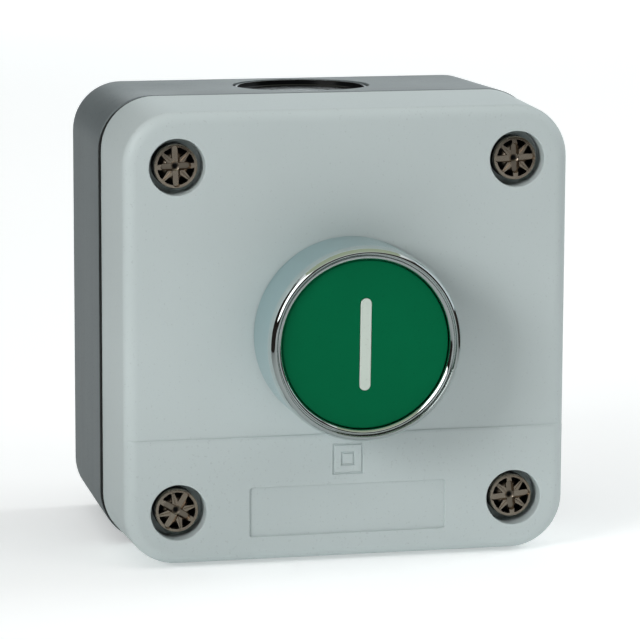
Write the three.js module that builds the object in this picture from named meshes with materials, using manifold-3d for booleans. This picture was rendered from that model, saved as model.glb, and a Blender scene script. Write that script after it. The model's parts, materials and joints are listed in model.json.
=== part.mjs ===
// A push-button control station: a two-part plastic box with a green start button on its cover.
//
// Millimetres, +Z up. The origin is the middle of the flat back, which goes against a wall or panel,
// and the button faces -Y. A depth is a distance forward of the back, so depth d lies at y = -d.
// Inside the head group, "out" is a distance forward of the cover's panel, and negative behind it.

import * as THREE from 'three';
import { mergeVertices } from 'three/addons/utils/BufferGeometryUtils.js';
import Module from 'manifold-3d';

const wasm = await Module();
wasm.setup();

// ---------------------------------------------------------------- box sizes
const boxWidth = 68; // both over the seam, where the box is widest
const boxHeight = 68;
const cornerRadius = 8;
const seamGap = 0.5;
const coverDepth = 18.5;
const baseDraft = 0.5; // how far each side of the base leans in at the back
const coverDraft = 0.6; // how far each side of the cover leans in at the front
const frontRounding = 2;
const wall = 2.6;
const baseFloor = 3;
const coverFront = 2.8;
const fit = 0.3; // clearance between pieces that go into each other
const over = 1; // how far a cutting shape runs past the surface it cuts
const lipHeight = 2; // the cover's rim that drops into the base
const lipThickness = 1.2;
const lipRootHeight = 1; // of the web that ties the lip to the wall
const gasketInset = 0.3;

const bandGap = 0.8; // from the bezel down to the raised band along the foot of the cover
const panelStep = 0.25; // how far the panel above it is set back
const labelWidth = 29.7;
const labelHeight = 7.4;
const labelDepth = 0.5;
const labelRise = 8; // from the foot of the cover to the label's middle
const symbolOuter = 4.65;
const symbolInner = 2.1;
const grooveWidth = 0.3;
const grooveDepth = 0.2;

const screwInset = 8.5; // from a side to the screw's axis
const screwHeadRadius = 3.25;
const screwHeadHeight = 2.2;
const screwShankRadius = 1.9;
const screwLength = 28;
const screwSink = 1.3; // from the face down to the top of the head
const screwRecessPlay = 0.8; // round the head
const pillarWall = 1; // round the recess
const screwSlotWidth = 1;
const screwSlotDepth = 1.1;
const screwCrossLength = 4.2;
const screwChamfer = 0.5; // round the head and the tip
const screwDome = 0.1; // rise of the head from its chamfer to its middle
const sealThickness = 0.8;

const fixingSlotWidth = 4.6; // four upright slots in the back, for the screws that hold the box up
const fixingSlotLength = 9.5;
const fixingInsetX = 10;
const fixingInsetZ = 20;

const entryBoreRadius = 9;
const entrySeatWidth = 1.5;
const entryMargin = 3; // from each entry's seat to the back and to the seam, which sets the base's depth
const entrySeatDepth = 1.6;
const plugDish = 0.8;
const plugRim = 0.4;
const plugSkirt = 5;
const plugWall = 1.2;

// ---------------------------------------------------------------- head sizes
const headLift = 0.5; // from the middle of the box up to the button's axis
const plungerCollar = 9; // radius of the sliding collar, which the sizes round it build on
const plungerCollarHeight = 4.4;
const collarPlay = 0.4;
const barrelWall = 1.5;
const barrelLength = 16; // behind the panel's face
const barrelFloor = 8;
const stemRadius = 5.9;
const stemPlay = 0.5;
const flangeWidth = 2.4;
const flangeThickness = 3.2;
const headSealThickness = 0.8;
const wiperWidth = 1.6;
const wiperHeight = 1.7;
const wiperSink = 0.1;
const bezelWall = 0.7; // round the flange
const bezelLip = 1.66; // round the cap
const bezelRounding = 1.2; // how far in its shoulder runs
const bezelShoulder = 1.9; // how far down its shoulder runs
const bezelSkirtGap = 0.2;
const nutWall = 2.6;
const nutThickness = 4;
const nutCorners = 6;
const travel = 4;
const stopClearance = 0.2; // left between cap and flange when it is pressed home
const capSink = 1.15; // of the cap's face below the bezel's lip
const capThickness = 2.55;
const capPocket = 0.8;
const capEdge = 0.25;
const legendLength = 13.5;
const legendWidth = 1.65;
const legendDepth = 0.6;
const legendPlay = 0.05;
const returnSpringWire = 1;
const returnSpringTurns = 5;

const collarWall = 3.8;
const collarCorner = 3;
const collarThickness = 10;
const collarScrewRadius = 1.5;
const collarScrewLength = 4.2;
const collarSlotWidth = 0.6;
const collarSlotDepth = 0.8;

// ---------------------------------------------------------------- contact block sizes
const blockWidth = 14;
const blockHeight = 38;
const blockWall = 1.4;
const blockLid = 1.6;
const wellMargin = 1.6; // past each end of the bridge
const plungerSide = 5;
const plungerReach = 4; // in front of the block
const plungerLength = 15.5;
const springRoom = 3.5; // left for the plunger's spring when it is pressed home
const windowStart = 1.4;
const windowPlay = 0.5;
const bridgeStart = 5.2;
const bridgeWidth = 3;
const bridgeThickness = 0.8;
const tipRadius = 1.2;
const tipHeight = 0.5;
const tipOffset = 6.2; // from the axis to each pair of contact tips
const contactGap = 2.6;
const stripWidth = 6;
const stripThickness = 0.8;
const stripGap = 1.9; // between the plunger and each fixed strip
const terminalInset = 5.6; // from the block's end to the terminal's axis
const terminalScrewRadius = 1.6;
const terminalHeadRadius = 2.8;
const terminalHeadHeight = 2;
const terminalShank = 7.6;
const terminalSlotWidth = 0.8;
const terminalSlotDepth = 1;
const clampSide = 6.6;
const clampThickness = 1.2;
const conductorGap = 2;
const wireWindowWidth = 4.8;
const bridgeSpringRadius = 1.1;
const plungerSpringRadius = 1.8;
const fineWire = 0.4;
const bridgeSpringTurns = 3;
const plungerSpringTurns = 4;

// ---------------------------------------------------------------- how finely curves are divided
const holeSides = 12; // flats round small holes and contact tips
const screwSides = 20;
const bodySides = 30;
const boreSides = 36;
const capSides = 40;
const cornerSteps = 3; // per quarter turn of a small corner
const shellCornerSteps = 4;
const frontRoundingSteps = 3;
const bezelRoundingSteps = 5;
const coilSteps = 11; // per turn of a spring

// ---------------------------------------------------------------- places that follow from the sizes
const entrySeatRadius = entryBoreRadius + entrySeatWidth;
const entryDepth = entrySeatRadius + entryMargin;
const baseDepth = 2 * entryDepth;
const coverBack = baseDepth + seamGap;
const faceDepth = coverBack + coverDepth;
const panelDepth = faceDepth - panelStep;
const panelThickness = coverFront - panelStep;
const plugTop = boxHeight / 2 - baseDraft; // just under the leaning top of the base
const screwRecessRadius = screwHeadRadius + screwRecessPlay;
const pillarRadius = screwRecessRadius + pillarWall;
const screwX = boxWidth / 2 - screwInset;
const screwZ = boxHeight / 2 - screwInset;
const screwSeat = faceDepth - screwSink - screwHeadHeight;
const recessFloor = screwSeat - sealThickness;

const barrelBore = plungerCollar + collarPlay;
const barrelRadius = barrelBore + barrelWall;
const barrelHole = barrelRadius + fit;
const flangeRadius = barrelRadius + flangeWidth;
const flangeBack = headSealThickness;
const flangeFront = flangeBack + flangeThickness;
const bezelSocket = flangeRadius + fit;
const bezelRadius = bezelSocket + bezelWall;
const bezelOpening = bezelRadius - bezelLip;
const capBack = flangeFront + stopClearance + travel;
const capFront = capBack + capThickness;
const capRadius = bezelOpening - fit;
const bezelHeight = capFront + capSink;
const plungerFront = capBack + capPocket;
const plungerShoulder = plungerFront - plungerCollarHeight;
const returnSpringRadius = (stemRadius + barrelBore) / 2;
const collarFront = -(panelThickness + nutThickness + fit);
const collarBack = collarFront - collarThickness;
const collarSide = 2 * (barrelHole + collarWall);
const blockFront = collarBack - fit;
const stemEnd = blockFront + plungerReach + fit;

const bandTop = headLift - bezelRadius - bandGap;
const labelZ = labelRise - boxHeight / 2;
const symbolZ = (bandTop + labelZ + labelHeight / 2) / 2; // midway between the label and the band's top

const blockDepth = plungerLength - plungerReach + travel + springRoom;
const bridgeLength = 2 * (tipOffset + tipRadius) + fit;
const bridgeBack = bridgeStart + bridgeThickness;
const stripFront = bridgeBack + tipHeight + contactGap + tipHeight;
const stripBack = stripFront + stripThickness;
const clampFront = stripBack + conductorGap;
const terminalSeat = clampFront + clampThickness;
const terminalOffset = blockHeight / 2 - terminalInset;
const terminalHole = terminalScrewRadius + fit;

// ---------------------------------------------------------------- finishes
const finishes = {
  coverPlastic: { color: 0xaeb9b7, roughness: 0.5 },
  basePlastic: { color: 0x747d7d, roughness: 0.5 },
  blackRubber: { color: 0x111313, roughness: 0.7 },
  blackPlastic: { color: 0x0c0d0e, roughness: 0.3 },
  nickel: { color: 0xb0a595, roughness: 0.35, metalness: 1 },
  chrome: { color: 0xe3e6e8, roughness: 0.08, metalness: 1 },
  greenPlastic: { color: 0x005a3a, roughness: 0.45 },
  whiteInlay: { color: 0xc4ccc2, roughness: 0.5 },
  darkNylon: { color: 0x24282a, roughness: 0.55 },
  greyNylon: { color: 0x8b9092, roughness: 0.55 },
  springSteel: { color: 0x9a9da0, roughness: 0.3, metalness: 1 },
  brass: { color: 0xb89a5a, roughness: 0.35, metalness: 1 },
  silver: { color: 0xd0cfcb, roughness: 0.3, metalness: 1 },
};

// ---------------------------------------------------------------- making solids
function solidOf(geometry) {
  geometry.deleteAttribute('normal');
  geometry.deleteAttribute('uv');
  const merged = mergeVertices(geometry);
  const corners = merged.index.array;
  const triangles = [];
  for (let i = 0; i < corners.length; i += 3) {
    const [a, b, c] = corners.slice(i, i + 3);
    if (a !== b && b !== c && c !== a) triangles.push(a, b, c);
  }
  const vertProperties = new Float32Array(merged.attributes.position.array);
  const triVerts = new Uint32Array(triangles);
  return new wasm.Manifold(new wasm.Mesh({ numProp: 3, vertProperties, triVerts }));
}

function geometryOf(solid) {
  const mesh = solid.getMesh();
  const geometry = new THREE.BufferGeometry();
  geometry.setAttribute('position', new THREE.BufferAttribute(mesh.vertProperties, 3));
  geometry.setIndex(new THREE.BufferAttribute(mesh.triVerts, 1));
  geometry.computeVertexNormals();
  return geometry;
}

function piece(name, solid, finish) {
  const mesh = new THREE.Mesh(geometryOf(solid), new THREE.MeshStandardMaterial(finish));
  mesh.name = name;
  return mesh;
}

function cut(solid, ...tools) {
  return tools.reduce((rest, tool) => rest.subtract(tool), solid);
}

function join(solid, ...others) {
  return others.reduce((whole, other) => whole.add(other), solid);
}

// An upright outline in x and z, pushed forward from one depth to another.
function prism(shape, from, to, curveSegments = cornerSteps) {
  const geometry = new THREE.ExtrudeGeometry(shape, { depth: to - from, bevelEnabled: false, curveSegments });
  geometry.rotateX(Math.PI / 2);
  geometry.translate(0, -from, 0);
  return solidOf(geometry);
}

// A box-shaped block from one depth to another.
function block(width, height, from, to, x = 0, z = 0) {
  const geometry = new THREE.BoxGeometry(width, to - from, height);
  geometry.translate(x, -(from + to) / 2, z);
  return solidOf(geometry);
}

// A round bar along Y from one depth to another.
function rod(radius, from, to, sides, x = 0, z = 0) {
  const geometry = new THREE.CylinderGeometry(radius, radius, to - from, sides);
  geometry.translate(x, -(from + to) / 2, z);
  return solidOf(geometry);
}

// A round bar along Z, centred on x = 0 at the given depth.
function uprightRod(radius, fromZ, toZ, depth) {
  const geometry = new THREE.CylinderGeometry(radius, radius, toZ - fromZ, boreSides);
  geometry.rotateX(Math.PI / 2);
  geometry.translate(0, -depth, (fromZ + toZ) / 2);
  return solidOf(geometry);
}

// A turned piece about Y. Its outline lists [radius, depth] along the outside from back to front.
function turned(outline, sides = bodySides) {
  const points = outline.map(([radius, depth]) => new THREE.Vector2(radius, -depth)).reverse();
  return solidOf(new THREE.LatheGeometry(points, sides));
}

function ring(innerRadius, outerRadius, from, to, sides = bodySides) {
  const outline = [
    [innerRadius, from],
    [outerRadius, from],
    [outerRadius, to],
    [innerRadius, to],
    [innerRadius, from],
  ];
  return turned(outline, sides);
}

// A coil spring about Y, its end turns closed up, between two depths.
class CoilPath extends THREE.Curve {
  constructor(radius, from, to, turns) {
    super();
    Object.assign(this, { radius, from, to, turns });
  }

  getPoint(t, target = new THREE.Vector3()) {
    const angle = 2 * Math.PI * this.turns * t;
    const along = t - Math.sin(2 * Math.PI * t) / (4 * Math.PI);
    const depth = this.from + (this.to - this.from) * along;
    return target.set(this.radius * Math.cos(angle), -depth, this.radius * Math.sin(angle));
  }
}

function coilSpring(radius, wire, from, to, turns) {
  const section = new THREE.Shape().absarc(0, 0, wire / 2, 0, 2 * Math.PI);
  const steps = Math.round(turns * coilSteps);
  const extrudePath = new CoilPath(radius, from + wire / 2, to - wire / 2, turns);
  return solidOf(new THREE.ExtrudeGeometry(section, { steps, extrudePath, curveSegments: cornerSteps }));
}

function roundedRectangle(width, height, radius) {
  const x = width / 2 - radius;
  const z = height / 2 - radius;
  const shape = new THREE.Shape();
  shape.absarc(x, z, radius, 0, Math.PI / 2);
  shape.absarc(-x, z, radius, Math.PI / 2, Math.PI);
  shape.absarc(-x, -z, radius, Math.PI, 1.5 * Math.PI);
  shape.absarc(x, -z, radius, 1.5 * Math.PI, 2 * Math.PI);
  return shape;
}

// An upright slot with round ends.
function slotOutline(width, length, x = 0, z = 0) {
  const radius = width / 2;
  const reach = length / 2 - radius;
  const shape = new THREE.Shape();
  shape.absarc(x, z + reach, radius, 0, Math.PI);
  shape.absarc(x, z - reach, radius, Math.PI, 2 * Math.PI);
  return shape;
}

// The hollow inside the walls, stepping round the four screw pillars.
function hollowOutline(inset) {
  const x = boxWidth / 2 - wall - inset;
  const z = boxHeight / 2 - wall - inset;
  const radius = pillarRadius + inset;
  const shape = new THREE.Shape();
  shape.moveTo(x, -screwZ + radius);
  shape.lineTo(x, screwZ - radius);
  shape.absarc(screwX, screwZ, radius, 1.5 * Math.PI, Math.PI, true);
  shape.lineTo(screwX - radius, z);
  shape.lineTo(-screwX + radius, z);
  shape.absarc(-screwX, screwZ, radius, 0, -Math.PI / 2, true);
  shape.lineTo(-x, screwZ - radius);
  shape.lineTo(-x, -screwZ + radius);
  shape.absarc(-screwX, -screwZ, radius, Math.PI / 2, 0, true);
  shape.lineTo(-screwX + radius, -z);
  shape.lineTo(screwX - radius, -z);
  shape.absarc(screwX, -screwZ, radius, Math.PI, Math.PI / 2, true);
  shape.closePath();
  return shape;
}

function screwPlaces() {
  return [
    [-screwX, screwZ],
    [screwX, screwZ],
    [-screwX, -screwZ],
    [screwX, -screwZ],
  ];
}

// Leans the sides of a box in, evenly, from nothing at the seam to the full draft at the far end.
function leanIn(geometry, seamDepth, farDepth, draft) {
  const position = geometry.attributes.position;
  for (let i = 0; i < position.count; i += 1) {
    const share = (-position.getY(i) - seamDepth) / (farDepth - seamDepth);
    const lean = draft * share;
    position.setX(i, position.getX(i) * (1 - lean / (boxWidth / 2)));
    position.setZ(i, position.getZ(i) * (1 - lean / (boxHeight / 2)));
  }
}

// ---------------------------------------------------------------- the box
function baseShell() {
  const outline = roundedRectangle(boxWidth, boxHeight, cornerRadius);
  const geometry = new THREE.ExtrudeGeometry(outline, {
    depth: baseDepth,
    bevelEnabled: false,
    curveSegments: shellCornerSteps,
  });
  geometry.rotateX(Math.PI / 2);
  leanIn(geometry, baseDepth, 0, baseDraft);
  let shell = cut(solidOf(geometry), prism(hollowOutline(0), baseFloor, baseDepth + over));
  for (const [x, z] of screwPlaces()) {
    const pilotEnd = screwSeat - screwLength - over;
    shell = cut(shell, rod(screwShankRadius + fit, pilotEnd, baseDepth + over, holeSides, x, z));
  }
  for (const x of [fixingInsetX - boxWidth / 2, boxWidth / 2 - fixingInsetX]) {
    for (const z of [fixingInsetZ - boxHeight / 2, boxHeight / 2 - fixingInsetZ]) {
      const slot = slotOutline(fixingSlotWidth, fixingSlotLength, x, z);
      shell = cut(shell, prism(slot, -over, baseFloor + over));
    }
  }
  const past = boxHeight / 2 + over;
  const seat = plugTop - entrySeatDepth;
  const within = boxHeight / 2 - wall - over;
  return cut(
    shell,
    uprightRod(entryBoreRadius, within, past, entryDepth),
    uprightRod(entrySeatRadius, seat, past, entryDepth),
    uprightRod(entryBoreRadius, -past, -within, entryDepth),
    uprightRod(entrySeatRadius, -past, -seat, entryDepth),
  );
}

function coverShell() {
  const outline = roundedRectangle(boxWidth, boxHeight, cornerRadius);
  const geometry = new THREE.ExtrudeGeometry(outline, {
    depth: coverDepth,
    bevelThickness: frontRounding,
    bevelSize: frontRounding,
    bevelOffset: -frontRounding,
    bevelSegments: frontRoundingSteps,
    curveSegments: shellCornerSteps,
  });
  geometry.rotateX(Math.PI / 2);
  geometry.translate(0, frontRounding - coverBack, 0);
  leanIn(geometry, coverBack, faceDepth, coverDraft);
  const across = 2 * (boxWidth + boxHeight);
  let shell = cut(solidOf(geometry), block(across, across, coverBack - 2 * frontRounding - over, coverBack));
  shell = cut(shell, prism(hollowOutline(0), coverBack - over, faceDepth - coverFront));
  const lip = cut(
    prism(hollowOutline(fit), coverBack - lipHeight, coverBack + lipRootHeight),
    prism(hollowOutline(fit + lipThickness), coverBack - lipHeight - over, coverBack + lipRootHeight + over),
  );
  shell = join(shell, lip, lipRoot());
  const panel = block(across, across, panelDepth, faceDepth + over, 0, bandTop + across / 2);
  const label = block(labelWidth, labelHeight, faceDepth - labelDepth, faceDepth + over, 0, labelZ);
  shell = cut(shell, panel, label, squareGroove(symbolOuter), squareGroove(symbolInner));
  for (const [x, z] of screwPlaces()) {
    const recess = rod(screwRecessRadius, recessFloor, faceDepth + over, boreSides, x, z);
    shell = cut(shell, recess, rod(screwShankRadius + fit, coverBack - over, faceDepth, holeSides, x, z));
  }
  return cut(shell, rod(barrelHole, coverBack - over, faceDepth + over, boreSides, 0, headLift));
}

// A thin web that ties the lip to the inside of the wall just above the seam.
function lipRoot() {
  return cut(
    prism(hollowOutline(0), coverBack, coverBack + lipRootHeight),
    prism(hollowOutline(fit + lipThickness), coverBack - over, coverBack + lipRootHeight + over),
  );
}

function squareGroove(side) {
  const inner = side - 2 * grooveWidth;
  const floor = faceDepth - grooveDepth;
  const outside = block(side, side, floor, faceDepth + over, 0, symbolZ);
  return cut(outside, block(inner, inner, floor - over, faceDepth + 2 * over, 0, symbolZ));
}

function seamGasket() {
  const width = boxWidth - 2 * gasketInset;
  const height = boxHeight - 2 * gasketInset;
  const outline = roundedRectangle(width, height, cornerRadius - gasketInset);
  let gasket = prism(outline, baseDepth, coverBack, shellCornerSteps);
  gasket = cut(gasket, prism(hollowOutline(0), baseDepth - over, coverBack + over));
  for (const [x, z] of screwPlaces()) {
    gasket = cut(gasket, rod(screwShankRadius + fit, baseDepth - over, coverBack + over, holeSides, x, z));
  }
  return gasket;
}

// Origin under the head, on the axis. The head has a slot with a shorter cross.
function coverScrew() {
  const outline = [
    [0, -screwLength],
    [screwShankRadius - screwChamfer, -screwLength],
    [screwShankRadius, screwChamfer - screwLength],
    [screwShankRadius, 0],
    [screwHeadRadius, 0],
    [screwHeadRadius, screwHeadHeight - screwChamfer],
    [screwHeadRadius - screwChamfer, screwHeadHeight - screwDome],
    [0, screwHeadHeight],
  ];
  const floor = screwHeadHeight - screwSlotDepth;
  const slot = block(screwSlotWidth, 2 * (screwHeadRadius + over), floor, screwHeadHeight + over);
  const cross = block(screwCrossLength, screwSlotWidth, floor, screwHeadHeight + over);
  return cut(turned(outline, screwSides), slot, cross);
}

// Origin at the middle of its outer face, which looks along +Z.
function entryPlug() {
  const flange = entrySeatRadius - fit;
  const seat = fit - entrySeatDepth;
  const body = entryBoreRadius - fit;
  const outline = [
    [0, -plugDish - plugWall],
    [body - plugWall, -plugDish - plugWall],
    [body - plugWall, -plugSkirt],
    [body, -plugSkirt],
    [body, seat],
    [flange, seat],
    [flange, 0],
    [flange - plugRim, 0],
    [flange - plugRim, -plugDish],
    [0, -plugDish],
  ];
  const points = outline.map(([radius, height]) => new THREE.Vector2(radius, height));
  const geometry = new THREE.LatheGeometry(points, bodySides);
  geometry.rotateX(Math.PI / 2);
  return solidOf(geometry);
}

function buildBox() {
  const box = new THREE.Group();
  box.add(piece('base_box', baseShell(), finishes.basePlastic));
  box.add(piece('front_cover', coverShell(), finishes.coverPlastic));
  box.add(piece('cover_gasket', seamGasket(), finishes.blackRubber));
  const corners = ['top_left', 'top_right', 'bottom_left', 'bottom_right'];
  screwPlaces().forEach(([x, z], i) => {
    const screw = piece(`cover_screw_${corners[i]}`, coverScrew(), finishes.nickel);
    screw.position.set(x, -screwSeat, z);
    const seal = piece(
      `screw_seal_${corners[i]}`,
      ring(screwShankRadius + fit, screwHeadRadius, 0, sealThickness, screwSides),
      finishes.blackRubber,
    );
    seal.position.set(x, -recessFloor, z);
    box.add(screw, seal);
  });
  const topPlug = piece('entry_plug_top', entryPlug(), finishes.blackPlastic);
  topPlug.position.set(0, -entryDepth, plugTop);
  const bottomPlug = piece('entry_plug_bottom', entryPlug(), finishes.blackPlastic);
  bottomPlug.position.set(0, -entryDepth, -plugTop);
  bottomPlug.rotation.y = Math.PI;
  box.add(topPlug, bottomPlug);
  return box;
}

// ---------------------------------------------------------------- the button head
function bezelRing() {
  const outline = [
    [bezelSocket, bezelSkirtGap],
    [bezelRadius, bezelSkirtGap],
  ];
  for (let i = 0; i <= bezelRoundingSteps; i += 1) {
    const angle = (i / bezelRoundingSteps) * (Math.PI / 2);
    const radius = bezelRadius - bezelRounding * (1 - Math.cos(angle));
    outline.push([radius, bezelHeight - bezelShoulder * (1 - Math.sin(angle))]);
  }
  outline.push(
    [bezelOpening, bezelHeight],
    [bezelOpening, flangeFront + fit],
    [bezelSocket, flangeFront + fit],
    [bezelSocket, bezelSkirtGap],
  );
  return turned(outline, capSides);
}

function headBody() {
  const guide = stemRadius + stemPlay;
  const wiperSeat = flangeFront - wiperHeight;
  const outline = [
    [guide, -barrelLength],
    [barrelRadius, -barrelLength],
    [barrelRadius, flangeBack],
    [flangeRadius, flangeBack],
    [flangeRadius, flangeFront],
    [plungerCollar + fit + wiperWidth + fit, flangeFront],
    [plungerCollar + fit + wiperWidth + fit, wiperSeat],
    [barrelBore, wiperSeat],
    [barrelBore, -barrelFloor],
    [guide, -barrelFloor],
    [guide, -barrelLength],
  ];
  return turned(outline);
}

function wiperSeal() {
  const inner = plungerCollar + fit;
  return ring(inner, inner + wiperWidth, flangeFront - wiperHeight, flangeFront - wiperSink);
}

function lockNut() {
  const shape = new THREE.Shape();
  const corner = (barrelRadius + nutWall) / Math.cos(Math.PI / nutCorners);
  for (let i = 0; i < nutCorners; i += 1) {
    const angle = (2 * Math.PI * i) / nutCorners;
    const point = [corner * Math.cos(angle), corner * Math.sin(angle)];
    if (i === 0) shape.moveTo(...point);
    else shape.lineTo(...point);
  }
  shape.closePath();
  const back = -panelThickness - nutThickness;
  const bore = rod(barrelHole, back - over, 0, boreSides);
  return cut(prism(shape, back, -panelThickness), bore);
}

function buttonCap() {
  const outline = [
    [0, plungerFront],
    [plungerCollar + fit, plungerFront],
    [plungerCollar + fit, capBack],
    [capRadius, capBack],
    [capRadius, capFront - capEdge],
    [capRadius - capEdge, capFront],
    [0, capFront],
  ];
  const groove = slotOutline(legendWidth + 2 * legendPlay, legendLength + 2 * legendPlay);
  return cut(turned(outline, capSides), prism(groove, capFront - legendDepth, capFront + over));
}

function legendBar() {
  return prism(slotOutline(legendWidth, legendLength), capFront - legendDepth, capFront);
}

function buttonPlunger() {
  const outline = [
    [0, stemEnd],
    [stemRadius, stemEnd],
    [stemRadius, plungerShoulder],
    [plungerCollar, plungerShoulder],
    [plungerCollar, plungerFront],
    [0, plungerFront],
  ];
  return turned(outline);
}

function collarBlock() {
  const outline = roundedRectangle(collarSide, collarSide, collarCorner);
  const holeRadius = collarScrewRadius + fit;
  const screwHole = new THREE.CylinderGeometry(holeRadius, holeRadius, collarSide, holeSides);
  screwHole.rotateZ(Math.PI / 2);
  screwHole.translate(collarSide / 2, -(collarFront + collarBack) / 2, 0);
  const bore = rod(barrelHole, collarBack - over, collarFront + over, boreSides);
  return cut(prism(outline, collarBack, collarFront), bore, solidOf(screwHole));
}

// Origin at its outer end. It points along -Y here and is turned to press on the barrel.
function collarScrew() {
  const outline = [
    [0, -collarScrewLength],
    [collarScrewRadius, -collarScrewLength],
    [collarScrewRadius, 0],
    [0, 0],
  ];
  const slot = block(collarSlotWidth, 2 * (collarScrewRadius + over), -collarSlotDepth, over);
  return cut(turned(outline, screwSides), slot);
}

function returnSpring() {
  return coilSpring(returnSpringRadius, returnSpringWire, -barrelFloor, plungerShoulder, returnSpringTurns);
}

function buildHead() {
  const head = new THREE.Group();
  head.position.set(0, -panelDepth, headLift);
  head.add(piece('bezel', bezelRing(), finishes.chrome));
  head.add(piece('bezel_seal', ring(barrelHole, flangeRadius, 0, headSealThickness), finishes.blackRubber));
  head.add(piece('head_body', headBody(), finishes.darkNylon));
  head.add(piece('wiper_seal', wiperSeal(), finishes.blackRubber));
  head.add(piece('lock_nut', lockNut(), finishes.greyNylon));
  head.add(piece('button_cap', buttonCap(), finishes.greenPlastic));
  head.add(piece('cap_legend', legendBar(), finishes.whiteInlay));
  head.add(piece('button_plunger', buttonPlunger(), finishes.darkNylon));
  head.add(piece('return_spring', returnSpring(), finishes.springSteel));
  head.add(piece('mounting_collar', collarBlock(), finishes.darkNylon));
  const clampScrew = piece('collar_screw', collarScrew(), finishes.nickel);
  clampScrew.position.set(barrelHole + collarScrewLength, -(collarFront + collarBack) / 2, 0);
  clampScrew.rotation.z = Math.PI / 2;
  head.add(clampScrew, buildContactBlock());
  return head;
}

// ---------------------------------------------------------------- the contact block
// Its group starts at the block's front face, and depths run backwards from there: "behind" is a distance
// behind that face, so a piece from behind a to behind b lies at depths -b to -a in the group.
function blockHousing() {
  const inside = blockWidth - 2 * blockWall;
  const insideHeight = blockHeight - 2 * blockWall;
  const ledge = stripFront - fit;
  const well = bridgeLength + 2 * wellMargin;
  const guide = plungerSide + 2 * fit;
  let housing = block(blockWidth, blockHeight, -blockDepth, 0);
  housing = cut(
    housing,
    block(inside, well, -blockDepth - over, -blockWall),
    block(inside, insideHeight, -blockDepth - over, -ledge),
    block(guide, guide, -blockWall - over, over),
  );
  for (const side of [-1, 1]) {
    const pilotEnd = terminalShank + fit - terminalSeat;
    const pilot = rod(terminalHole, -ledge - over, pilotEnd, holeSides, 0, side * terminalOffset);
    const endZ = (side * (blockHeight - blockWall)) / 2;
    const wireWay = block(wireWindowWidth, blockWall + 2 * over, -clampFront, -stripBack, 0, endZ);
    housing = cut(housing, pilot, wireWay);
  }
  return housing;
}

function blockLidPlate() {
  const back = -blockDepth - blockLid;
  let lid = block(blockWidth, blockHeight, back, -blockDepth);
  for (const side of [-1, 1]) {
    const reach = terminalHeadRadius + fit;
    lid = cut(lid, rod(reach, back - over, -blockDepth + over, screwSides, 0, side * terminalOffset));
  }
  return lid;
}

function blockPlunger() {
  const body = block(plungerSide, plungerSide, plungerReach - plungerLength, plungerReach);
  const window = block(bridgeWidth + windowPlay, plungerSide + 2 * over, -bridgeBack - fit, -windowStart);
  return cut(body, window);
}

// The bar runs across both fixed tips. Each of its own tips is sunk a little into it.
function bridgeBar() {
  const sunk = tipHeight / 2;
  return join(
    block(bridgeWidth, bridgeLength, -bridgeBack, -bridgeStart),
    rod(tipRadius, -bridgeBack - tipHeight, sunk - bridgeBack, holeSides, 0, tipOffset),
    rod(tipRadius, -bridgeBack - tipHeight, sunk - bridgeBack, holeSides, 0, -tipOffset),
  );
}

// The strip from one terminal to its contact tip. Side is 1 for the upper terminal, -1 for the lower.
function contactStrip(side) {
  const sunk = tipHeight / 2;
  const inner = plungerSide / 2 + stripGap;
  const outer = blockHeight / 2 - blockWall - fit;
  const strip = block(stripWidth, outer - inner, -stripBack, -stripFront, 0, (side * (inner + outer)) / 2);
  const tip = rod(tipRadius, -stripFront - sunk, -stripFront + tipHeight, holeSides, 0, side * tipOffset);
  const hole = rod(terminalHole, -stripBack - over, -stripFront + over, holeSides, 0, side * terminalOffset);
  return cut(join(strip, tip), hole);
}

function terminalClamp(side) {
  const z = side * terminalOffset;
  const plate = block(clampSide, clampSide, -terminalSeat, -clampFront, 0, z);
  return cut(plate, rod(terminalHole, -terminalSeat - over, -clampFront + over, holeSides, 0, z));
}

// Origin under its head, on its axis. The head looks backwards, out of the block.
function terminalScrew() {
  const outline = [
    [0, -terminalHeadHeight],
    [terminalHeadRadius, -terminalHeadHeight],
    [terminalHeadRadius, 0],
    [terminalScrewRadius, 0],
    [terminalScrewRadius, terminalShank],
    [0, terminalShank],
  ];
  const floor = terminalSlotDepth - terminalHeadHeight;
  const slot = block(terminalSlotWidth, 2 * (terminalHeadRadius + over), -terminalHeadHeight - over, floor);
  return cut(turned(outline, screwSides), slot);
}

function bridgeSpring() {
  return coilSpring(bridgeSpringRadius, fineWire, -bridgeStart, -windowStart, bridgeSpringTurns);
}

function plungerSpring() {
  const plungerBack = plungerReach - plungerLength;
  return coilSpring(plungerSpringRadius, fineWire, -blockDepth, plungerBack, plungerSpringTurns);
}

function buildContactBlock() {
  const contacts = new THREE.Group();
  contacts.position.set(0, -blockFront, 0);
  contacts.add(piece('contact_housing', blockHousing(), finishes.greyNylon));
  contacts.add(piece('contact_lid', blockLidPlate(), finishes.greyNylon));
  contacts.add(piece('contact_plunger', blockPlunger(), finishes.greenPlastic));
  contacts.add(piece('contact_bridge', bridgeBar(), finishes.silver));
  contacts.add(piece('bridge_spring', bridgeSpring(), finishes.springSteel));
  contacts.add(piece('plunger_spring', plungerSpring(), finishes.springSteel));
  const places = { upper: 1, lower: -1 };
  for (const [place, side] of Object.entries(places)) {
    contacts.add(piece(`fixed_contact_${place}`, contactStrip(side), finishes.brass));
    contacts.add(piece(`terminal_clamp_${place}`, terminalClamp(side), finishes.nickel));
    const screw = piece(`terminal_screw_${place}`, terminalScrew(), finishes.nickel);
    screw.position.set(0, terminalSeat, side * terminalOffset);
    contacts.add(screw);
  }
  return contacts;
}

// ---------------------------------------------------------------- the whole station
const group = new THREE.Group();
group.add(buildBox(), buildHead());

export default group;
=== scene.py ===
import json
import math

import bmesh
import bpy
from mathutils import Matrix, Vector

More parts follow.
